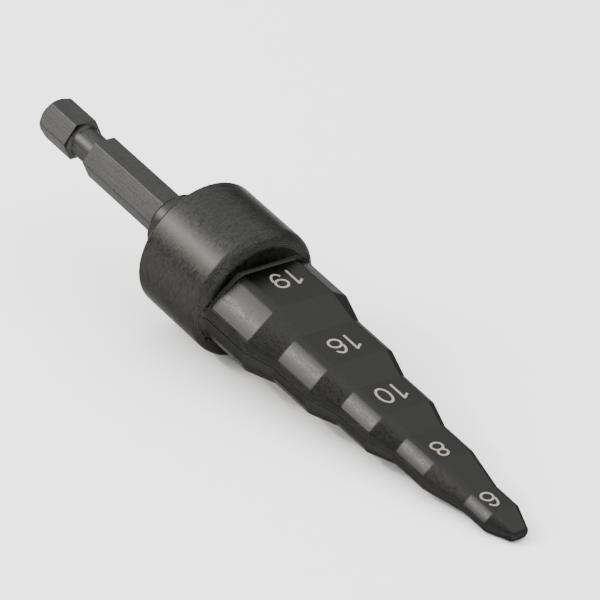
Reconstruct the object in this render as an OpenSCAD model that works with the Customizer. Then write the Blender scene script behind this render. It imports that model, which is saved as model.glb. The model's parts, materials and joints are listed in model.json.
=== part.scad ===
// Stepped swaging bit for soft copper pipe, turned and milled from one steel bar.
// It has a hexagonal drive shank, a stop collar and five swaging steps joined by tapers.
// It lies as it comes to rest, on the collar's front edge and the tip, with the numbered flats level.
// X runs from the shank to the tip. The origin is under the middle of the bit, on the surface it lies on.

/* [Drive shank] */
// Size of the hexagon across its flats
shank_af = 6.35; // [5.5:0.05:8]
// Length of the hexagon behind the retaining groove
rear_hex_len = 7; // [4:0.1:12]
// Length of the hexagon between the groove and the boss
main_hex_len = 18.2; // [8:0.1:60]
// Diameter of the flat left inside the chamfer on the shank's end
end_face_d = 6.2; // [3:0.1:6.3]

/* [Retaining groove] */
// Depth of the groove below the flats of the hexagon
groove_depth = 0.65; // [0.2:0.05:1]
// Length of the groove
groove_len = 4.9; // [3:0.1:8]
// Radius between the groove's floor and its walls
groove_fillet = 0.6; // [0.1:0.05:1]

/* [Boss] */
// Diameter of the boss that joins the shank to the collar
boss_d = 10; // [9.4:0.1:16]
// Length of the boss
boss_len = 6.1; // [1:0.1:20]
// Chamfer on the boss's rear edge
boss_chamfer = 0.4; // [0.1:0.1:0.9]

/* [Collar] */
// Diameter of the stop collar
collar_d = 21.8; // [20.5:0.1:32]
// Length of the collar
collar_len = 15.2; // [6:0.1:40]
// Chamfer on the collar's rear edge
collar_chamfer = 0.35; // [0.1:0.05:1.5]
// Radius of the rounding on the collar's front edge
collar_round = 2; // [0.2:0.1:3]

/* [Step for 19 mm pipe] */
// Diameter over the lobes
lobes_19 = 19.8; // [17:0.1:20]
// Thickness between the numbered flats
flats_19 = 11.6; // [9:0.1:15]
// Thickness between the lands that lead on to the lobes
lands_19 = 16.7; // [13:0.1:18]
// Length of the step
length_19 = 9.2; // [2:0.1:25]
// Length of the taper that follows
taper_19 = 5.2; // [1:0.1:15]

/* [Step for 16 mm pipe] */
// Diameter over the lobes
lobes_16 = 16.3; // [14:0.1:16.5]
// Thickness between the numbered flats
flats_16 = 8.3; // [6:0.1:11]
// Thickness between the lands that lead on to the lobes
lands_16 = 13.7; // [11:0.1:15]
// Length of the step
length_16 = 7.7; // [2:0.1:25]
// Length of the taper that follows
taper_16 = 5; // [1:0.1:15]

/* [Step for 10 mm pipe] */
// Diameter over the lobes
lobes_10 = 12.9; // [10.5:0.1:13.5]
// Thickness between the numbered flats
flats_10 = 6.6; // [4.5:0.1:9]
// Thickness between the lands that lead on to the lobes
lands_10 = 10.9; // [8.5:0.1:12]
// Length of the step
length_10 = 6.6; // [2:0.1:25]
// Length of the taper that follows
taper_10 = 4.6; // [1:0.1:15]

/* [Step for 8 mm pipe] */
// Diameter over the lobes
lobes_8 = 9.7; // [8:0.1:10]
// Thickness between the numbered flats
flats_8 = 5; // [3.6:0.1:7]
// Thickness between the lands that lead on to the lobes
lands_8 = 8.1; // [6:0.1:9]
// Length of the step
length_8 = 6.2; // [2:0.1:25]
// Length of the taper that follows
taper_8 = 7.4; // [1:0.1:15]

/* [Step for 6 mm pipe] */
// Diameter over the lobes
lobes_6 = 6.5; // [5:0.1:7]
// Thickness between the numbered flats
flats_6 = 3.4; // [2:0.1:4.5]
// Thickness between the lands that lead on to the lobes
lands_6 = 5.4; // [4:0.1:6]
// Length of the step
length_6 = 4.7; // [2:0.1:25]
// Length of the taper that ends in the tip
taper_6 = 4.4; // [1:0.1:15]

/* [Tip] */
// Diameter over the lobes at the tip
tip_lobes = 3.3; // [2.2:0.1:4.5]
// Thickness between the flats at the tip
tip_flats = 1.8; // [1.6:0.1:2.5]
// Thickness between the lands at the tip
tip_lands = 2.9; // [2:0.1:3.5]
// Bevel round the tip's end
tip_bevel = 0.45; // [0.1:0.05:0.6]

/* [Section of the steps] */
// Angle round the axis from a numbered flat back to the land beside it
land_angle = 54; // [48:1:58]
// Angle from a numbered flat back to the shoulder between land and lobe
shoulder_angle = 68; // [62:1:75]
// Angle from a numbered flat forward to the heel of the next lobe
heel_angle = 27; // [20:1:35]
// Angle from a numbered flat forward to the side of the next lobe
side_angle = 57; // [48:1:65]
// Thickness over the shoulders as a share of the lobe diameter
shoulder_share = 0.915; // [0.88:0.005:0.97]
// Thickness over the heels as a share of the lobe diameter
heel_share = 0.775; // [0.74:0.005:0.85]
// Thickness over the sides as a share of the lobe diameter
side_share = 0.955; // [0.92:0.005:0.98]
// Chamfer left in the corner between the collar and the first step
root_chamfer = 0.35; // [0.05:0.05:1]

/* [Hidden] */
$fn = 96;

// How far one form reaches into the next, so that they join
overlap = 1;

// Places along the axis, from the shank's end
groove_end = rear_hex_len + groove_len;
boss_start = groove_end + main_hex_len;
collar_start = boss_start + boss_len;
collar_front = collar_start + collar_len;

// The hexagon's corners and the groove's floor
shank_corner_r = shank_af / 2 / cos(30);
groove_r = shank_af / 2 - groove_depth;

// Facets in a full circle of the groove's small fillets
fillet_facets = 32;

// The five steps, from the collar to the tip
lobes = [lobes_19, lobes_16, lobes_10, lobes_8, lobes_6];
flats = [flats_19, flats_16, flats_10, flats_8, flats_6];
lands = [lands_19, lands_16, lands_10, lands_8, lands_6];
lengths = [length_19, length_16, length_10, length_8, length_6];
tapers = [taper_19, taper_16, taper_10, taper_8, taper_6];
last_step = len(lobes) - 1;

function step_start(i) = i == 0 ? collar_front : step_end(i - 1) + tapers[i - 1];
function step_end(i) = step_start(i) + lengths[i];
tip_x = step_end(last_step) + tapers[last_step];

// Half a size that changes from step to step, as [x, half size] points from the collar to the tip.
// It flares into the collar by the root chamfer and ends in the tip's bevel.
function half_outline(across, tip_across) = concat(
    [[collar_front - overlap, across[0] / 2 + root_chamfer]],
    [[collar_front, across[0] / 2 + root_chamfer]],
    [[collar_front + root_chamfer, across[0] / 2]],
    [[step_end(0), across[0] / 2]],
    [for (i = [1:last_step]) each [[step_start(i), across[i] / 2], [step_end(i), across[i] / 2]]],
    [[tip_x - tip_bevel, tip_across / 2], [tip_x, tip_across / 2 - tip_bevel]]
);

// A list scaled by a share, for the sizes that follow the lobes
function shared(sizes, share) = [for (size = sizes) size * share];

// Rest pose: the collar's rounded front edge and one corner of a flat touch the surface.
// lean gives the axis's tilt at which a point of the lower flat touches together with that edge.
round_x = collar_front - collar_round;
round_r = collar_d / 2 - collar_round;
function lean(x, r) =
    atan2(round_r - r, x - round_x) + asin(collar_round / norm([x - round_x, round_r - r]));
contacts = concat(
    [for (i = [0:last_step]) [step_end(i), flats[i] / 2]],
    [[tip_x - tip_bevel, tip_flats / 2], [tip_x, tip_flats / 2 - tip_bevel]]
);
tilt = min([for (point = contacts) lean(point[0], point[1])]);
axis_height = round_x * sin(tilt) + round_r * cos(tilt) + collar_round;
rear_reach = -end_face_d / 2 * sin(tilt);
front_reach = tip_x * cos(tilt) + (tip_flats / 2 - tip_bevel) * sin(tilt);
middle_x = (rear_reach + front_reach) / 2;

// Turns a [radius, place along the axis] profile about the X axis
module turned() {
    rotate([0, 90, 0])
        rotate_extrude()
            children();
}

// Lays the bit down from its own axis to the surface it rests on
module at_rest() {
    translate([-middle_x, 0, axis_height])
        rotate([0, tilt, 0])
            children();
}

// Hexagon with a chamfered end, grooved for a quick-change chuck
module shank() {
    difference() {
        intersection() {
            rotate([0, 90, 0])
                rotate([0, 0, 30])
                    linear_extrude(boss_start + overlap)
                        circle(r = shank_corner_r, $fn = 6);
            turned() end_chamfer_profile();
        }
        turned() groove_profile();
    }
}

// Everything inside the 45 degree chamfer on the shank's end
module end_chamfer_profile() {
    outer_r = shank_corner_r + overlap;
    polygon([
        [0, 0],
        [end_face_d / 2, 0],
        [outer_r, outer_r - end_face_d / 2],
        [outer_r, boss_start + overlap],
        [0, boss_start + overlap]
    ]);
}

// The stock cut away for the groove, with a fillet where its floor meets each wall
module groove_profile() {
    outer_r = shank_corner_r + overlap;
    fillet_r = groove_r + groove_fillet;
    translate([fillet_r, rear_hex_len])
        square([outer_r - fillet_r, groove_len]);
    translate([groove_r, rear_hex_len + groove_fillet])
        square([outer_r - groove_r, groove_len - 2 * groove_fillet]);
    for (x = [rear_hex_len + groove_fillet, groove_end - groove_fillet])
        translate([fillet_r, x])
            circle(r = groove_fillet, $fn = fillet_facets);
}

// Round boss between the hexagon and the collar
module boss() {
    turned()
        polygon([
            [0, boss_start],
            [boss_d / 2 - boss_chamfer, boss_start],
            [boss_d / 2, boss_start + boss_chamfer],
            [boss_d / 2, collar_start + overlap],
            [0, collar_start + overlap]
        ]);
}

// Stop collar, chamfered behind and rounded in front
module collar() {
    collar_r = collar_d / 2;
    turned() {
        polygon([
            [0, collar_start],
            [collar_r - collar_chamfer, collar_start],
            [collar_r, collar_start + collar_chamfer],
            [collar_r, round_x],
            [0, round_x]
        ]);
        translate([0, collar_start + collar_chamfer])
            square([round_r, collar_len - collar_chamfer]);
        translate([round_r, round_x])
            circle(r = collar_round);
    }
}

// The steps as they leave the lathe, out to the lobes
module turned_steps() {
    outline = half_outline(lobes, tip_lobes);
    turned()
        polygon(concat(
            [[0, collar_front - overlap]],
            [for (point = outline) [point[1], point[0]]],
            [[0, tip_x]]
        ));
}

// Everything between a pair of opposite faces whose distance follows the steps.
// angle turns the pair about the axis, from level towards +Y.
module between_faces(across, tip_across, angle) {
    outline = half_outline(across, tip_across);
    mirrored = [for (i = [len(outline) - 1:-1:0]) [outline[i][0], -outline[i][1]]];
    rotate([90 - angle, 0, 0])
        linear_extrude(2 * collar_d, center = true)
            polygon(concat(outline, mirrored));
}

// The steps and tapers, milled all round: numbered flats, lands, shoulders, heels and sides
module steps() {
    intersection() {
        turned_steps();
        between_faces(flats, tip_flats, 0);
        between_faces(lands, tip_lands, -land_angle);
        between_faces(shared(lobes, shoulder_share), tip_lobes * shoulder_share, -shoulder_angle);
        between_faces(shared(lobes, heel_share), tip_lobes * heel_share, heel_angle);
        between_faces(shared(lobes, side_share), tip_lobes * side_share, side_angle);
    }
}

// The whole bit is one piece of steel
module swaging_bit() {
    color("dimgray")
        at_rest() {
            shank();
            boss();
            collar();
            steps();
        }
}

swaging_bit();
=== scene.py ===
"""Blackened steel swaging bit for soft copper pipe: its body, the numbers on its flats and the studio."""

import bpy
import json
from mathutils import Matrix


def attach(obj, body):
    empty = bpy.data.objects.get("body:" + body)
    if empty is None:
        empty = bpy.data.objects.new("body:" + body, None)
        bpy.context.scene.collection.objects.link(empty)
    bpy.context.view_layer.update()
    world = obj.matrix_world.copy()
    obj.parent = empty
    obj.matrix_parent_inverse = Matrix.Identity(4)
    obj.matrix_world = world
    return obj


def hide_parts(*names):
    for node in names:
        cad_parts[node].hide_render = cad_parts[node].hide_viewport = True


bl_info = {
    "name": "Stepped Swaging Bit",
    "version": (1, 0, 0),
    "blender": (4, 5, 0),
    "location": "View3D > Sidebar > Swaging Bit",
    "description": "Models a stepped swaging bit in blackened steel and lights it",
    "category": "Object",
}

import json
from math import atan2, cos, pi, radians, sin

import bpy
from bpy.props import FloatProperty, FloatVectorProperty, PointerProperty
from mathutils import Matrix, Vector

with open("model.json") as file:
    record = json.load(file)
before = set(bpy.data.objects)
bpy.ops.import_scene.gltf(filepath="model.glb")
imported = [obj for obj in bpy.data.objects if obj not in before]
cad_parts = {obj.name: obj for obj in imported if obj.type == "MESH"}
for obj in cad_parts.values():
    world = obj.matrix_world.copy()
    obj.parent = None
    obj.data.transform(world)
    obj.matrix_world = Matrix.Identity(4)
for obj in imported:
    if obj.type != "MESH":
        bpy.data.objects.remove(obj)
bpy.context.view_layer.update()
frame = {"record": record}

BODY = "root"
NODE = "swaging_bit"
MM = 0.001

# How fine the round shapes are, in steps
SPIN_STEPS = 192
RING_STEPS = 64
ROUND_STEPS = 12
FILLET_STEPS = 8
BEVEL_SEGMENTS = 3

# Points nearer than this are one, in millimetres
JOIN_DISTANCE = 0.0005
# How far parts reach into each other before they are joined, in millimetres
OVERLAP = 1.0
# How far past the ends of boss and collar the middle of one of their faces may lie, in millimetres
BOSS_MARGIN = 0.1
COLLAR_MARGIN = 0.02
ON_AXIS = 0.0

# Each land is ground a little convex, in strips that turn from the land's own angle. The radius and
# the place of its centre are shares of half the thickness over the lands.
LAND_TURNS = tuple(radians(turn) for turn in (-11, -8, -5, -2, 1, 3.5))
LAND_RADIUS = 1.928
LAND_CENTRE = Vector((0.4515, -0.9452))

# Faces that meet at less than the first are made one, and at less than the second are one surface
FLAT_ANGLE = radians(0.05)
EDGE_ANGLE = radians(5)
# How near a face's turn about the axis must be to that of a flat or a land
NEAR_TURN = radians(4)
# An edge with at least this share of its direction along the axis runs along the bit
LONG_EDGE = 0.8

# Numbers on the five upper flats, from the collar to the tip, with their tops towards the tip
MARKS = ("19", "16", "10", "8", "6")
MARK_TURN = Matrix(((0, 1, 0), (-1, 0, 0), (0, 0, 1))).to_4x4()

# Shapes of the digits, as shares of their height, width or stroke, and the angles between which the
# tails of six and nine run
STEM_PLACE = 0.14
FLAG_REACH = 0.42
FLAG_FOOT = 0.76
FLAG_DROP = 0.35
WAIST = 0.54
UPPER_RING = 0.86
BOWL = 0.62
TAILS = {"6": (radians(35), pi), "9": (radians(-145), 0)}

# The oxide film is porous, so its reflection at grazing angles stays dull
GRAZING_TINT = (0.48, 0.48, 0.48, 1)
# How far the gloss changes with the tool marks and the mottle, and the middle range of their sum
GLOSS_CHANGE = 0.08
PATTERN_RANGE = {"From Min": 0.75, "From Max": 1.25}
BUMP_STRENGTH = 0.5
# The oxide between the laser's spots, as a share of the mark's own brightness
MARK_GAPS = 0.35

# Each light's direction from the bit, distance, width across the bit and length along it, in metres
LIGHTS = {
    "key": ((-0.495, -0.64, 0.585), 0.6, 0.34, 0.38),
    "core": ((-0.492, -0.62, 0.61), 0.59, 0.035, 0.3),
    "overhead": ((0.0, 0.1, 1.0), 0.9, 2.0, 2.0),
}
WHITE = (1, 1, 1)
# The floor's side in metres, the camera's sensor in millimetres and its nearest view in metres
FLOOR_SIZE = 6
SENSOR_WIDTH = 36
CLIP_START = 0.01


def linear(hex_colour):
    """An sRGB colour such as #3a3a38 as linear red, green and blue."""
    values = [int(hex_colour[i:i + 2], 16) / 255 for i in (1, 3, 5)]
    return tuple(v / 12.92 if v <= 0.04045 else ((v + 0.055) / 1.055) ** 2.4 for v in values)


def millimetres(label, value, about, low=0.01, high=200.0):
    """A length property in millimetres."""
    return FloatProperty(
        name=label, description=about + ", in millimetres", default=value, min=low, max=high)


def each_step(label, values, about, low=0.01):
    """A property with one number for each of the five steps."""
    return FloatVectorProperty(name=label, description=about, size=5, default=values, min=low)


def angle(label, degrees, about):
    """An angle property whose default is given in degrees."""
    return FloatProperty(name=label, description=about, subtype="ANGLE", default=radians(degrees))


def number(label, value, about):
    """A plain number property, for shares, gloss and strengths."""
    return FloatProperty(name=label, description=about, default=value)


def metres(label, value, about):
    """A length property in metres."""
    return FloatProperty(name=label, description=about, subtype="DISTANCE", default=value)


def colour(label, hex_colour, about):
    """A colour property that starts from an sRGB hex value."""
    return FloatVectorProperty(
        name=label, description=about, subtype="COLOR", size=3, default=linear(hex_colour), min=0, max=1)


class BitSizes(bpy.types.PropertyGroup):
    """Sizes of the bit, measured along and round its own axis from the shank's end."""

    shank_af: millimetres("Shank across flats", 6.35, "Size of the hexagon across its flats")
    rear_hex_len: millimetres("Rear hexagon", 7.0, "Length of the hexagon behind the groove")
    main_hex_len: millimetres("Main hexagon", 18.2, "Length of the hexagon between the groove and the boss")
    end_face_d: millimetres("End face", 6.2, "Diameter of the flat inside the chamfer on the shank's end")
    groove_depth: millimetres("Groove depth", 0.65, "Depth of the groove below the hexagon's flats")
    groove_len: millimetres("Groove length", 4.9, "Length of the groove")
    groove_fillet: millimetres("Groove fillet", 0.6, "Radius between the groove's floor and its walls")
    boss_d: millimetres("Boss diameter", 10.0, "Diameter of the boss")
    boss_len: millimetres("Boss length", 6.1, "Length of the boss")
    boss_chamfer: millimetres("Boss chamfer", 0.4, "Chamfer on the boss's rear edge")
    collar_d: millimetres("Collar diameter", 21.8, "Diameter of the stop collar")
    collar_len: millimetres("Collar length", 15.2, "Length of the stop collar")
    collar_chamfer: millimetres("Collar chamfer", 0.35, "Chamfer on the collar's rear edge")
    collar_round: millimetres("Collar rounding", 2.0, "Radius of the collar's front edge")
    lobes: each_step("Lobes", (19.8, 16.3, 12.9, 9.7, 6.5), "Diameter over the lobes, in millimetres")
    flats: each_step("Flats", (11.6, 8.3, 6.6, 5.0, 3.4), "Thickness between the flats, in millimetres")
    lands: each_step("Lands", (16.7, 13.7, 10.9, 8.1, 5.4), "Thickness between the lands, in millimetres")
    lengths: each_step("Steps", (9.2, 7.7, 6.6, 6.2, 4.7), "Length of each step, in millimetres")
    tapers: each_step("Tapers", (5.2, 5.0, 4.6, 7.4, 4.4), "Length of each taper, in millimetres")
    tip_lobes: millimetres("Tip lobes", 3.3, "Diameter over the lobes at the tip")
    tip_flats: millimetres("Tip flats", 1.8, "Thickness between the flats at the tip")
    tip_lands: millimetres("Tip lands", 2.9, "Thickness between the lands at the tip")
    tip_bevel: millimetres("Tip bevel", 0.45, "Bevel round the tip's end")
    root_chamfer: millimetres("Root chamfer", 0.35, "Chamfer in the corner by the collar")
    land_angle: angle("Land angle", 54, "Angle from a flat back to its land")
    shoulder_angle: angle("Shoulder angle", 68, "Angle from a flat back to the shoulder")
    heel_angle: angle("Heel angle", 27, "Angle from a flat forward to the heel")
    side_angle: angle("Side angle", 57, "Angle from a flat forward to the side")
    shoulder_share: number("Shoulder share", 0.915, "Thickness over the shoulders as a share of the lobes")
    heel_share: number("Heel share", 0.775, "Thickness over the heels as a share of the lobes")
    side_share: number("Side share", 0.955, "Thickness over the sides as a share of the lobes")
    edge_round: millimetres("Edge rounding", 0.16, "Width of the rounding that tumbling leaves on the edges")
    rim_round: millimetres("Rim rounding", 0.03, "The same on the groove's rims, where the wall is low")
    land_round: millimetres("Land rounding", 0.9, "Width of the rounding from flat to land, first step")
    shoulder_round: millimetres("Shoulder rounding", 0.25, "The same between land and shoulder")
    mark_height: millimetres("Mark height", 3.55, "Height of the numbers")
    mark_width: millimetres("Mark width", 2.45, "Width of a number's digit")
    mark_stroke: millimetres("Mark stroke", 0.38, "Width of the laser's line")
    mark_pitch: millimetres("Mark pitch", 2.85, "Distance from one digit to the next")
    mark_proud: millimetres("Mark thickness", 0.012, "How far the marks stand over the flats", low=0.001)
    mark_share: each_step("Mark sizes", (1.0, 1.0, 1.0, 0.92, 0.92), "Each mark's share of the mark height")
    mark_along: each_step(
        "Marks along the steps", (-0.85, 0.25, -0.4, 1.15, -0.25),
        "Each mark's distance from the middle of its step towards the tip, in millimetres", low=-10)
    mark_across: each_step(
        "Marks across the steps", (1.2, 0.9, 0.65, -0.45, -0.4),
        "Each mark's distance from the middle of its flat towards +Y, in millimetres", low=-10)


class Finish(bpy.types.PropertyGroup):
    """Colours and gloss of the blackened steel and of the laser marks."""

    steps_dark: colour("Steps, dark", "#252524", "Oxide where it is thickest on the polished steps")
    steps_light: colour("Steps, light", "#292928", "Oxide where it is thinnest on the polished steps")
    collar_dark: colour("Collar, dark", "#252524", "Oxide in the marks that turning left on the collar")
    collar_light: colour("Collar, light", "#333331", "Oxide on the crests of the turned collar")
    shank_dark: colour("Shank, dark", "#2f2f2e", "Oxide in the draw marks of the hexagonal bar")
    shank_light: colour("Shank, light", "#3b3b3a", "Oxide on the plain flats of the hexagonal bar")
    mark: colour("Laser mark", "#92897c", "Tan of the annealed laser mark")
    steps_roughness: number("Steps roughness", 0.33, "Roughness of the steps")
    collar_roughness: number("Collar roughness", 0.38, "Roughness of the collar")
    shank_roughness: number("Shank roughness", 0.42, "Roughness of the shank")


class Studio(bpy.types.PropertyGroup):
    """Where the camera and the lights stand."""

    azimuth: angle("Azimuth", 48.42, "Camera's angle round the bit")
    elevation: angle("Elevation", 27.98, "Camera's angle over the floor")
    roll: angle("Roll", 5.46, "Turn of the camera about its own axis")
    distance: metres("Distance", 0.7, "Distance from the camera to the bit")
    lens: number("Lens", 287.0, "Focal length in millimetres")
    aim_height: metres("Aim height", 0.010, "Height of the point aimed at")
    aim_right: millimetres("Aim right", 3.34, "How far right of that point the view is centred", low=-50)
    aim_up: millimetres("Aim up", 2.09, "How far above that point the view is centred", low=-50)
    floor: colour("Floor", "#fafafa", "Pale sweep that the bit lies on")
    key_tint: colour("Key tint", "#fffaf6", "Slightly warm white of the soft box")
    key_power: number("Key light", 2.85, "Power of the main soft box in watts")
    core_power: number("Key core", 2.1, "Power of the tube in the middle of the soft box in watts")
    fill_power: number("Fill light", 26.0, "Power of the overhead panel in watts")
    sky: number("Room light", 1.3, "Strength of the room's even light")


def stations(sizes):
    """Where each part of the bit starts along its axis, in millimetres."""
    at = {"groove": sizes.rear_hex_len}
    at["hex"] = at["groove"] + sizes.groove_len
    at["boss"] = at["hex"] + sizes.main_hex_len
    at["collar"] = at["boss"] + sizes.boss_len
    at["front"] = at["collar"] + sizes.collar_len
    at["starts"], at["ends"] = [], []
    place = at["front"]
    for length, taper in zip(sizes.lengths, sizes.tapers):
        at["starts"].append(place)
        at["ends"].append(place + length)
        place += length + taper
    at["tip"] = place
    return at


def place_on_axis():
    """The matrix from the bit's own axis in millimetres to its place at rest in metres."""
    shank = next(mount for mount in frame["record"]["mounts"] if mount["name"] == "drive_shank")
    along = -Vector(shank["axis"]).normalized()
    across = Vector((0, 1, 0))
    rotation = Matrix((along, across, along.cross(across))).transposed().to_4x4()
    return Matrix.Translation(shank["pos_m"]) @ rotation @ Matrix.Scale(MM, 4)


def select_only(piece):
    """Makes one object the only selected one and the active one."""
    bpy.ops.object.select_all(action="DESELECT")
    piece.select_set(True)
    bpy.context.view_layer.objects.active = piece


def draw_path(name, points, closed=False):
    """A new object with a line through the points, drawn by extruding one vertex."""
    bpy.ops.object.select_all(action="DESELECT")
    bpy.ops.mesh.primitive_plane_add(size=1, location=(0, 0, 0))
    piece = bpy.context.object
    piece.name = piece.data.name = name
    bpy.ops.object.mode_set(mode="EDIT")
    bpy.ops.mesh.select_all(action="SELECT")
    bpy.ops.mesh.merge(type="CENTER")
    bpy.ops.transform.translate(value=points[0])
    route = list(points[1:]) + ([points[0]] if closed else [])
    last = Vector(points[0])
    for point in route:
        step = Vector(point) - last
        bpy.ops.mesh.extrude_region_move(TRANSFORM_OT_translate={"value": step})
        last = Vector(point)
    bpy.ops.mesh.select_all(action="SELECT")
    bpy.ops.mesh.remove_doubles(threshold=JOIN_DISTANCE)
    return piece


def close_shape():
    """Joins what meets in the mesh being edited, makes flat stretches one face and turns faces outward."""
    bpy.ops.mesh.select_all(action="SELECT")
    bpy.ops.mesh.remove_doubles(threshold=JOIN_DISTANCE)
    bpy.ops.mesh.dissolve_limited(angle_limit=FLAT_ANGLE)
    bpy.ops.mesh.normals_make_consistent(inside=False)
    bpy.ops.object.mode_set(mode="OBJECT")


def turned(name, profile):
    """A solid turned about the X axis from a profile of (place along the axis, radius) points."""
    piece = draw_path(name, [(x, r, 0) for x, r in profile])
    bpy.ops.mesh.spin(steps=SPIN_STEPS, angle=2 * pi, center=(0, 0, 0), axis=(1, 0, 0))
    close_shape()
    return piece


def between_faces(name, outline, turn, width):
    """A bar whose opposite faces follow an outline of (place along the axis, half thickness) points."""
    there = [(x, half, -width / 2) for x, half in outline]
    back = [(x, -half, -width / 2) for x, half in reversed(outline)]
    piece = draw_path(name, there + back, closed=True)
    bpy.ops.mesh.edge_face_add()
    bpy.ops.mesh.extrude_region_move(TRANSFORM_OT_translate={"value": (0, 0, width)})
    close_shape()
    piece.rotation_euler.x = pi / 2 - turn
    select_only(piece)
    bpy.ops.object.transform_apply(location=False, rotation=True, scale=False)
    return piece


def combine(piece, tool, operation):
    """Adds, takes away or intersects a second solid, which is used up."""
    select_only(piece)
    bpy.ops.object.modifier_add(type="BOOLEAN")
    modifier = piece.modifiers[-1]
    modifier.operation = operation
    modifier.solver = "EXACT"
    modifier.object = tool
    bpy.ops.object.modifier_apply(modifier=modifier.name)
    select_only(tool)
    bpy.ops.object.delete()
    select_only(piece)


def arc(centre_x, centre_r, radius, first, last, steps):
    """Points round part of a circle; angles run from straight out towards the tip."""
    angles = [first + (last - first) * i / steps for i in range(steps + 1)]
    return [(centre_x + radius * sin(a), centre_r + radius * cos(a)) for a in angles]


def half_outline(sizes, at, across, tip_across):
    """Half a size that follows the steps, from inside the collar to the tip."""
    front, root, half = at["front"], sizes.root_chamfer, across[0] / 2
    points = [(front - OVERLAP, half + root), (front, half + root), (front + root, half)]
    points.append((at["ends"][0], half))
    for start, end, size in list(zip(at["starts"], at["ends"], across))[1:]:
        points += [(start, size / 2), (end, size / 2)]
    tip, bevel = at["tip"], sizes.tip_bevel
    return points + [(tip - bevel, tip_across / 2), (tip, tip_across / 2 - bevel)]


def model_shank(sizes, at):
    """Hexagon with a chamfered end, grooved for a quick-change chuck."""
    corner_r = sizes.shank_af / 2 / cos(radians(30))
    length = at["boss"] + OVERLAP
    bpy.ops.object.select_all(action="DESELECT")
    bpy.ops.mesh.primitive_cylinder_add(
        vertices=6, radius=corner_r, depth=length, location=(length / 2, 0, 0), rotation=(0, pi / 2, 0))
    shank = bpy.context.object
    shank.name = shank.data.name = "hexagonal_shank"
    bpy.ops.object.transform_apply(location=True, rotation=True, scale=False)
    outer_r = corner_r + OVERLAP
    chamfer = turned("end_chamfer", [
        (0, ON_AXIS), (0, sizes.end_face_d / 2), (outer_r - sizes.end_face_d / 2, outer_r),
        (length + OVERLAP, outer_r), (length + OVERLAP, ON_AXIS)])
    combine(shank, chamfer, "INTERSECT")
    fillet = sizes.groove_fillet
    fillet_r = sizes.shank_af / 2 - sizes.groove_depth + fillet
    profile = [(at["hex"], outer_r), (at["groove"], outer_r)]
    profile += arc(at["groove"] + fillet, fillet_r, fillet, -pi / 2, -pi, FILLET_STEPS)
    profile += arc(at["hex"] - fillet, fillet_r, fillet, pi, pi / 2, FILLET_STEPS)
    combine(shank, turned("groove", profile + [(at["hex"], outer_r)]), "DIFFERENCE")
    return shank


def model_collar(sizes, at):
    """Stop collar with the boss behind it, turned in one."""
    boss_r, collar_r = sizes.boss_d / 2, sizes.collar_d / 2
    boss_cut, collar_cut, rounded = sizes.boss_chamfer, sizes.collar_chamfer, sizes.collar_round
    profile = [
        (at["boss"], ON_AXIS), (at["boss"], boss_r - boss_cut), (at["boss"] + boss_cut, boss_r),
        (at["collar"], boss_r), (at["collar"], collar_r - collar_cut), (at["collar"] + collar_cut, collar_r)]
    profile += arc(at["front"] - rounded, collar_r - rounded, rounded, 0, pi / 2, ROUND_STEPS)
    return turned("collar", profile + [(at["front"], ON_AXIS)])


def model_steps(sizes, at):
    """The five steps and their tapers, turned and then milled all round."""
    outline = half_outline(sizes, at, sizes.lobes, sizes.tip_lobes)
    steps = turned("steps", [(at["front"] - OVERLAP, ON_AXIS)] + outline + [(at["tip"], ON_AXIS)])
    faces = [(sizes.flats, sizes.tip_flats, 1.0, 0.0)]
    for turn in LAND_TURNS:
        share = LAND_RADIUS + LAND_CENTRE.dot((sin(turn), cos(turn)))
        faces.append((sizes.lands, sizes.tip_lands, share, -sizes.land_angle - turn))
    faces += [
        (sizes.lobes, sizes.tip_lobes, sizes.shoulder_share, -sizes.shoulder_angle),
        (sizes.lobes, sizes.tip_lobes, sizes.heel_share, sizes.heel_angle),
        (sizes.lobes, sizes.tip_lobes, sizes.side_share, sizes.side_angle)]
    for across, tip_across, share, turn in faces:
        outline = half_outline(sizes, at, [size * share for size in across], tip_across * share)
        combine(steps, between_faces("cutter", outline, turn, 2 * sizes.collar_d), "INTERSECT")
    return steps


def weigh(piece, indices, amount):
    """Gives some edges their share of the bevel's width."""
    bpy.ops.object.mode_set(mode="EDIT")
    bpy.ops.mesh.select_all(action="DESELECT")
    bpy.ops.object.mode_set(mode="OBJECT")
    for index in indices:
        piece.data.edges[index].select = True
    bpy.ops.object.mode_set(mode="EDIT")
    bpy.ops.transform.edge_bevelweight(value=amount)
    bpy.ops.object.mode_set(mode="OBJECT")


def faces_turn(normal, wanted):
    """Whether a face, or the one opposite it, is turned about the axis by an angle from a numbered flat."""
    off = (atan2(normal.y, normal.z) - wanted) % pi
    return min(off, pi - off) < NEAR_TURN


def is_between(first, second, turn, other):
    """Whether two faces are turned by these angles, in either order."""
    return (faces_turn(first, turn) and faces_turn(second, other)) or (
        faces_turn(first, other) and faces_turn(second, turn))


def edge_width(sizes, at, start, end, first, second):
    """Width of the rounding on the edge from one point to another, between faces with these normals."""
    middle = (start + end) / 2
    runs_along = abs((end - start).normalized().x) > LONG_EDGE
    if runs_along and middle.x > at["front"] + sizes.root_chamfer:
        step = sum(middle.x > place for place in at["starts"]) - 1
        share = sizes.lobes[step] / sizes.lobes[0]
        if is_between(first, second, 0, -sizes.land_angle - LAND_TURNS[0]):
            return share * sizes.land_round
        if is_between(first, second, -sizes.land_angle - LAND_TURNS[-1], -sizes.shoulder_angle):
            return share * sizes.shoulder_round
    elif abs(middle.x - (at["groove"] + at["hex"]) / 2) < sizes.groove_len / 2 + sizes.edge_round:
        return sizes.rim_round
    return sizes.edge_round


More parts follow.
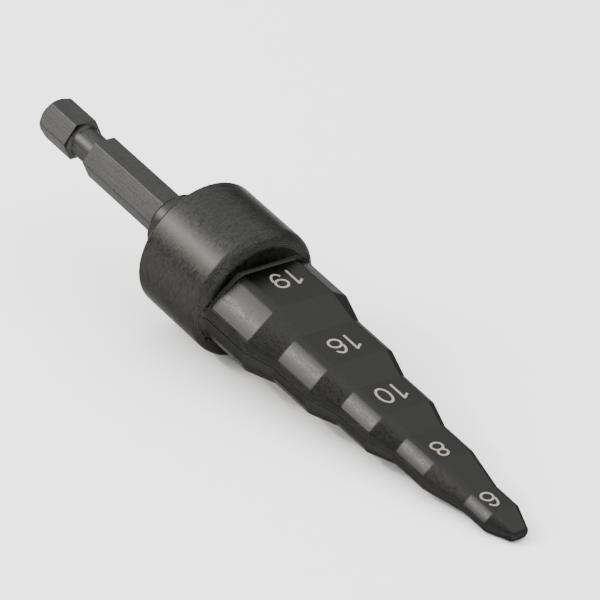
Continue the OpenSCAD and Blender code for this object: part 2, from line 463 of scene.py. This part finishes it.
def weigh_edges(piece, sizes, at):
    """Weighs the edges for the bevel: wide between flat and land, narrow elsewhere, least at the groove."""
    mesh = piece.data
    widest = max(sizes.land_round, sizes.shoulder_round)
    sides = {}
    for polygon in mesh.polygons:
        for key in polygon.edge_keys:
            sides.setdefault(key, []).append(polygon.normal)
    groups = {}
    for edge in mesh.edges:
        first, second = sides[edge.key]
        if first.angle(second) >= EDGE_ANGLE:
            start, end = (mesh.vertices[index].co for index in edge.vertices)
            width = edge_width(sizes, at, start, end, first, second)
            groups.setdefault(width, []).append(edge.index)
    bpy.ops.object.mode_set(mode="EDIT")
    bpy.ops.mesh.select_mode(type="EDGE")
    bpy.ops.object.mode_set(mode="OBJECT")
    for width, indices in groups.items():
        weigh(piece, indices, width / widest)
    bpy.ops.object.mode_set(mode="EDIT")
    bpy.ops.mesh.select_mode(type="VERT")
    bpy.ops.object.mode_set(mode="OBJECT")


def finish_body(piece, sizes, at):
    """Gives each part of the bit its finish and rounds all the edges, then lays it down at rest."""
    finishes = bpy.context.scene.swaging_finish
    for material in (shank_steel(finishes), collar_steel(finishes), steps_steel(finishes)):
        piece.data.materials.append(material)
    limits = (at["boss"] - BOSS_MARGIN, at["front"] + COLLAR_MARGIN)
    for polygon in piece.data.polygons:
        polygon.material_index = sum(polygon.center.x >= limit for limit in limits)
    select_only(piece)
    bpy.ops.object.mode_set(mode="EDIT")
    close_shape()
    weigh_edges(piece, sizes, at)
    select_only(piece)
    bpy.ops.object.shade_smooth()
    bpy.ops.object.modifier_add(type="BEVEL")
    bevel = piece.modifiers[-1]
    bevel.width = max(sizes.land_round, sizes.shoulder_round)
    bevel.segments = BEVEL_SEGMENTS
    bevel.limit_method = "WEIGHT"
    bevel.use_clamp_overlap = False
    bevel.miter_outer = "MITER_ARC"
    bpy.ops.object.modifier_apply(modifier=bevel.name)
    piece.matrix_world = place_on_axis()
    bpy.ops.object.transform_apply(location=True, rotation=True, scale=True)
    bpy.ops.object.modifier_add(type="WEIGHTED_NORMAL")
    bpy.ops.object.modifier_apply(modifier=piece.modifiers[-1].name)


class SWAGING_OT_model_body(bpy.types.Operator):
    """Models the one-piece steel body over the solid of the frame"""

    bl_idname = "swaging.model_body"
    bl_label = "Model the Body"

    def execute(self, context):
        sizes = context.scene.swaging_sizes
        at = stations(sizes)
        body = model_collar(sizes, at)
        combine(body, model_shank(sizes, at), "UNION")
        combine(body, model_steps(sizes, at), "UNION")
        body.name = body.data.name = "bit_body"
        finish_body(body, sizes, at)
        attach(body, BODY)
        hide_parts(NODE)
        return {"FINISHED"}


def ring(name, centre_y, half_width, half_height, stroke):
    """An elliptical ring of even width, for the round parts of a digit."""
    bpy.ops.object.select_all(action="DESELECT")
    bpy.ops.mesh.primitive_circle_add(vertices=RING_STEPS, radius=1, fill_type="NGON", location=(0, 0, 0))
    piece = bpy.context.object
    piece.name = piece.data.name = name
    bpy.ops.object.mode_set(mode="EDIT")
    bpy.ops.mesh.select_all(action="SELECT")
    bpy.ops.transform.resize(value=(half_width, half_height, 1))
    bpy.ops.transform.translate(value=(0, centre_y, 0))
    bpy.ops.mesh.inset(thickness=stroke, depth=0)
    bpy.ops.mesh.delete(type="FACE")
    return piece


def thicken(thickness):
    """Raises the flat mesh being edited into a closed plate that starts below the surface."""
    bpy.ops.mesh.select_all(action="SELECT")
    bpy.ops.transform.translate(value=(0, 0, -thickness))
    bpy.ops.mesh.extrude_region_move(TRANSFORM_OT_translate={"value": (0, 0, 2 * thickness)})
    bpy.ops.mesh.select_all(action="SELECT")
    bpy.ops.mesh.normals_make_consistent(inside=False)
    bpy.ops.object.mode_set(mode="OBJECT")


def full_ring(name, sizes, low, high, width):
    """A closed ring between two heights of the digit."""
    piece = ring(name, (low + high) / 2, width / 2, (high - low) / 2, sizes.mark_stroke)
    thicken(sizes.mark_proud)
    return piece


def tail(name, sizes, first, last):
    """The part of a full-height ring between two angles, for the tail of a six or a nine."""
    height = sizes.mark_height
    piece = ring(name, height / 2, sizes.mark_width / 2, height / 2, sizes.mark_stroke)
    bpy.ops.mesh.select_all(action="DESELECT")
    bpy.ops.object.mode_set(mode="OBJECT")
    for polygon in piece.data.polygons:
        across = polygon.center.x / sizes.mark_width
        along = (polygon.center.y - height / 2) / height
        polygon.select = not first <= atan2(along, across) <= last
    bpy.ops.object.mode_set(mode="EDIT")
    bpy.ops.mesh.delete(type="FACE")
    thicken(sizes.mark_proud)
    return piece


def stroke_bar(name, sizes, start, end):
    """A straight stroke from one point of the digit to another."""
    along = (Vector(end) - Vector(start)).normalized()
    side = Vector((-along.y, along.x)) * sizes.mark_stroke / 2
    corners = [Vector(start) + side, Vector(start) - side, Vector(end) - side, Vector(end) + side]
    piece = draw_path(name, [(corner.x, corner.y, 0) for corner in corners], closed=True)
    bpy.ops.mesh.edge_face_add()
    thicken(sizes.mark_proud)
    return piece


def digit(name, figure, sizes):
    """One digit standing on the X axis, with its middle over the origin."""
    height, width, stroke = sizes.mark_height, sizes.mark_width, sizes.mark_stroke
    if figure == "1":
        stem_x = width * STEM_PLACE
        piece = stroke_bar(name, sizes, (stem_x, 0), (stem_x, height))
        flag_end = (stem_x - width * FLAG_REACH, height * FLAG_FOOT)
        flag = stroke_bar("flag", sizes, (stem_x, height - stroke * FLAG_DROP), flag_end)
        combine(piece, flag, "UNION")
    elif figure == "0":
        piece = full_ring(name, sizes, 0, height, width)
    elif figure == "8":
        waist = height * WAIST
        piece = full_ring(name, sizes, 0, waist + stroke / 2, width)
        upper = full_ring("upper_ring", sizes, waist - stroke / 2, height, width * UPPER_RING)
        combine(piece, upper, "UNION")
    else:
        bowl = height * BOWL
        low = 0 if figure == "6" else height - bowl
        piece = full_ring(name, sizes, low, low + bowl, width)
        combine(piece, tail("tail", sizes, *TAILS[figure]), "UNION")
    return piece


class SWAGING_OT_mark_numbers(bpy.types.Operator):
    """Marks the pipe sizes on the upper flats"""

    bl_idname = "swaging.mark_numbers"
    bl_label = "Mark the Numbers"

    def execute(self, context):
        sizes = context.scene.swaging_sizes
        at = stations(sizes)
        material = laser_mark(context.scene.swaging_finish)
        for i, figures in enumerate(MARKS):
            digits = [digit(f"figure_{figure}", figure, sizes) for figure in figures]
            for k, piece in enumerate(digits):
                piece.location.x = (k - (len(digits) - 1) / 2) * sizes.mark_pitch
                piece.location.y = -sizes.mark_height / 2
            select_only(digits[0])
            for piece in digits:
                piece.select_set(True)
            if len(digits) > 1:
                bpy.ops.object.join()
            bpy.ops.object.transform_apply(location=True, rotation=False, scale=False)
            mark = context.object
            mark.name = mark.data.name = f"laser_mark_{figures}"
            mark.data.materials.append(material)
            middle = (at["starts"][i] + at["ends"][i]) / 2 + sizes.mark_along[i]
            seat = Matrix.Translation((middle, sizes.mark_across[i], sizes.flats[i] / 2))
            mark.matrix_world = place_on_axis() @ seat @ MARK_TURN @ Matrix.Scale(sizes.mark_share[i], 4)
            bpy.ops.object.transform_apply(location=True, rotation=True, scale=True)
            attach(mark, BODY)
        return {"FINISHED"}


def add_node(tree, kind, settings=(), inputs=()):
    """Adds a node with its settings, and links or sets its inputs."""
    node = tree.nodes.new(kind)
    for name, value in dict(settings).items():
        setattr(node, name, value)
    for socket, value in dict(inputs).items():
        if isinstance(value, bpy.types.NodeSocket):
            tree.links.new(value, node.inputs[socket])
        else:
            node.inputs[socket].default_value = value
    return node


def new_material(name):
    """An empty node material and its tree."""
    material = bpy.data.materials.new(name)
    material.use_nodes = True
    material.node_tree.nodes.clear()
    return material, material.node_tree


def axis_coordinates(tree, stretch):
    """Coordinates in millimetres along and across the bit's own axis, times a factor each way."""
    place = place_on_axis()
    spot = add_node(tree, "ShaderNodeTexCoord").outputs["Object"]
    own = add_node(tree, "ShaderNodeMapping", {"vector_type": "TEXTURE"}, {
        "Vector": spot, "Location": place.translation, "Rotation": place.to_euler(), "Scale": (MM, MM, MM)})
    return add_node(tree, "ShaderNodeMapping", {"vector_type": "POINT"}, {
        "Vector": own.outputs[0], "Scale": stretch}).outputs[0]


def surface_pattern(tree, per_millimetre, detail):
    """A noise pattern with so many features in a millimetre along the bit's own X, Y and Z."""
    return add_node(tree, "ShaderNodeTexNoise", {}, {
        "Vector": axis_coordinates(tree, per_millimetre), "Scale": 1.0, "Detail": detail}).outputs[0]


def blackened(name, dark, light, roughness, marks, mottle, mark_depth, mottle_depth):
    """Black oxide over machined steel: tool marks one way, mottling all ways, both in gloss and tone."""
    material, tree = new_material(name)
    lines = surface_pattern(tree, marks, detail=3.0)
    patches = surface_pattern(tree, mottle, detail=5.0)
    blend = add_node(tree, "ShaderNodeMath", {"operation": "ADD"}, {0: lines, 1: patches}).outputs[0]
    tone = add_node(tree, "ShaderNodeMapRange", {}, {"Value": blend, **PATTERN_RANGE}).outputs[0]
    mixed = add_node(tree, "ShaderNodeMix", {"data_type": "RGBA"}, {
        0: tone, 6: (*dark, 1), 7: (*light, 1)}).outputs[2]
    gloss = add_node(tree, "ShaderNodeMapRange", {}, {
        "Value": blend, **PATTERN_RANGE,
        "To Min": roughness - GLOSS_CHANGE, "To Max": roughness + GLOSS_CHANGE}).outputs[0]
    fine = add_node(tree, "ShaderNodeBump", {}, {
        "Height": lines, "Strength": BUMP_STRENGTH, "Distance": mark_depth * MM}).outputs[0]
    rough = add_node(tree, "ShaderNodeBump", {}, {
        "Height": patches, "Strength": BUMP_STRENGTH, "Distance": mottle_depth * MM,
        "Normal": fine}).outputs[0]
    shader = add_node(tree, "ShaderNodeBsdfPrincipled", {}, {
        "Base Color": mixed, "Metallic": 1.0, "Roughness": gloss, "Specular Tint": GRAZING_TINT,
        "Normal": rough})
    add_node(tree, "ShaderNodeOutputMaterial", {}, {"Surface": shader.outputs[0]})
    return material


def shank_steel(finish):
    """Cold-drawn hexagonal bar, black oxide: satin grey with faint lines along the draw."""
    # The die's lines are finer on the real bar. Here they run 5 mm and are 0.2 mm apart, which is as
    # fine as the render shows, and 0.003 mm deep. The mottle is in patches of 0.3 mm.
    return blackened(
        "black_oxide_drawn_bar", finish.shank_dark, finish.shank_light, finish.shank_roughness,
        marks=(0.2, 5.0, 5.0), mottle=(3.0, 3.0, 3.0), mark_depth=0.003, mottle_depth=0.004)


def collar_steel(finish):
    """Turned bar, black oxide: dark satin with weak feed marks round it and a soft mottle."""
    # The feed is 0.17 mm a turn. The oxide's mottle is finer on the real bit: patches of 0.4 mm, and
    # 0.015 mm high, are as fine and as low as the render shows.
    return blackened(
        "black_oxide_turned_steel", finish.collar_dark, finish.collar_light, finish.collar_roughness,
        marks=(6.0, 0.8, 0.8), mottle=(2.5, 2.5, 2.5), mark_depth=0.0008, mottle_depth=0.015)


def steps_steel(finish):
    """Milled and polished steel, black oxide: nearly black and glossy, with a faint mottle."""
    # Polishing leaves lines along the bit, and the oxide a mottle, both finer on the real bit. Lines
    # 0.25 mm apart and 0.001 mm deep, and patches of 0.3 mm, are as fine as the render shows.
    return blackened(
        "black_oxide_polished_steel", finish.steps_dark, finish.steps_light, finish.steps_roughness,
        marks=(0.6, 4.0, 4.0), mottle=(3.5, 3.5, 3.5), mark_depth=0.001, mottle_depth=0.009)


def laser_mark(finish):
    """Laser mark: the beam leaves a matt tan oxide of overlapping spots on the black surface."""
    material, tree = new_material("laser_annealed_mark")
    # The beam's spots are finer on the real bit: 0.2 mm is as fine as the render shows
    spots = surface_pattern(tree, (5.0, 5.0, 5.0), detail=2.0)
    gaps = [channel * MARK_GAPS for channel in finish.mark]
    shade = add_node(tree, "ShaderNodeMix", {"data_type": "RGBA"}, {
        0: spots, 6: (*gaps, 1), 7: (*finish.mark, 1)}).outputs[2]
    shader = add_node(tree, "ShaderNodeBsdfPrincipled", {}, {"Base Color": shade, "Roughness": 0.6})
    add_node(tree, "ShaderNodeOutputMaterial", {}, {"Surface": shader.outputs[0]})
    return material


def pale_sweep(tint):
    """Matt white paper: even and without shine, so that it only carries the bit's shadow."""
    material, tree = new_material("matt_paper_sweep")
    shader = add_node(tree, "ShaderNodeBsdfPrincipled", {}, {"Base Color": (*tint, 1), "Roughness": 0.9})
    add_node(tree, "ShaderNodeOutputMaterial", {}, {"Surface": shader.outputs[0]})
    return material


def soft_box(name, power, tint=WHITE):
    """A rectangular area light that faces the bit, with one side along the bit's axis."""
    direction, distance, width, length = LIGHTS[name]
    towards = Vector(direction).normalized()
    along = place_on_axis().to_3x3() @ Vector((1, 0, 0))
    side = along.cross(towards).normalized()
    bpy.ops.object.light_add(type="AREA", location=towards * distance)
    lamp = bpy.context.object
    lamp.name = name
    lamp.data.shape = "RECTANGLE"
    lamp.data.size = width
    lamp.data.size_y = length
    lamp.data.energy = power
    lamp.data.color = tint
    lamp.rotation_mode = "QUATERNION"
    lamp.rotation_quaternion = Matrix((side, towards.cross(side), towards)).transposed().to_quaternion()


def camera_axes(studio):
    """The camera's right, up and back directions."""
    a, e, roll = studio.azimuth, studio.elevation, studio.roll
    back = Vector((sin(a) * cos(e), -cos(a) * cos(e), sin(e)))
    level = Vector((cos(a), sin(a), 0))
    rise = back.cross(level)
    return level * cos(roll) + rise * sin(roll), rise * cos(roll) - level * sin(roll), back


class SWAGING_OT_build_studio(bpy.types.Operator):
    """Lays the floor, hangs the lights and sets the camera"""

    bl_idname = "swaging.build_studio"
    bl_label = "Build the Studio"

    def execute(self, context):
        studio = context.scene.swaging_studio
        bpy.ops.object.select_all(action="DESELECT")
        bpy.ops.mesh.primitive_plane_add(size=FLOOR_SIZE, location=(0, 0, 0))
        floor = context.object
        floor.name = "floor"
        floor.data.materials.append(pale_sweep(studio.floor))

        soft_box("key", studio.key_power, studio.key_tint)
        soft_box("core", studio.core_power, studio.key_tint)
        soft_box("overhead", studio.fill_power)

        world = bpy.data.worlds.new("even_room_light")
        world.use_nodes = True
        background = world.node_tree.nodes["Background"]
        background.inputs["Color"].default_value = (*WHITE, 1)
        background.inputs["Strength"].default_value = studio.sky
        context.scene.world = world

        right, up, back = camera_axes(studio)
        aim = Vector((0, 0, studio.aim_height)) + (right * studio.aim_right + up * studio.aim_up) * MM
        bpy.ops.object.camera_add()
        camera = context.object
        camera.data.lens = studio.lens
        camera.data.sensor_width = SENSOR_WIDTH
        camera.data.clip_start = CLIP_START
        camera.matrix_world = Matrix.Translation(aim + back * studio.distance) @ Matrix(
            (right, up, back)).transposed().to_4x4()
        context.scene.camera = camera
        return {"FINISHED"}


class SWAGING_PT_panel(bpy.types.Panel):
    """Steps that build the bit, in order, and the sizes that they use"""

    bl_idname = "SWAGING_PT_panel"
    bl_label = "Swaging Bit"
    bl_space_type = "VIEW_3D"
    bl_region_type = "UI"
    bl_category = "Swaging Bit"

    def draw(self, context):
        layout = self.layout
        for operator in OPERATORS:
            layout.operator(operator.bl_idname)
        scene = context.scene
        for group in (scene.swaging_sizes, scene.swaging_finish, scene.swaging_studio):
            for name in group.__annotations__:
                layout.prop(group, name)


OPERATORS = (SWAGING_OT_model_body, SWAGING_OT_mark_numbers, SWAGING_OT_build_studio)
CLASSES = (BitSizes, Finish, Studio, *OPERATORS, SWAGING_PT_panel)


def register():
    """Registers the classes and hangs their properties on the scene."""
    for cls in CLASSES:
        bpy.utils.register_class(cls)
    bpy.types.Scene.swaging_sizes = PointerProperty(type=BitSizes)
    bpy.types.Scene.swaging_finish = PointerProperty(type=Finish)
    bpy.types.Scene.swaging_studio = PointerProperty(type=Studio)


def unregister():
    """Takes the properties and classes away again."""
    del bpy.types.Scene.swaging_studio
    del bpy.types.Scene.swaging_finish
    del bpy.types.Scene.swaging_sizes
    for cls in reversed(CLASSES):
        bpy.utils.unregister_class(cls)


def main():
    """Builds everything in order."""
    register()
    bpy.ops.swaging.model_body()
    bpy.ops.swaging.mark_numbers()
    bpy.ops.swaging.build_studio()


if __name__ == "__main__":
    main()
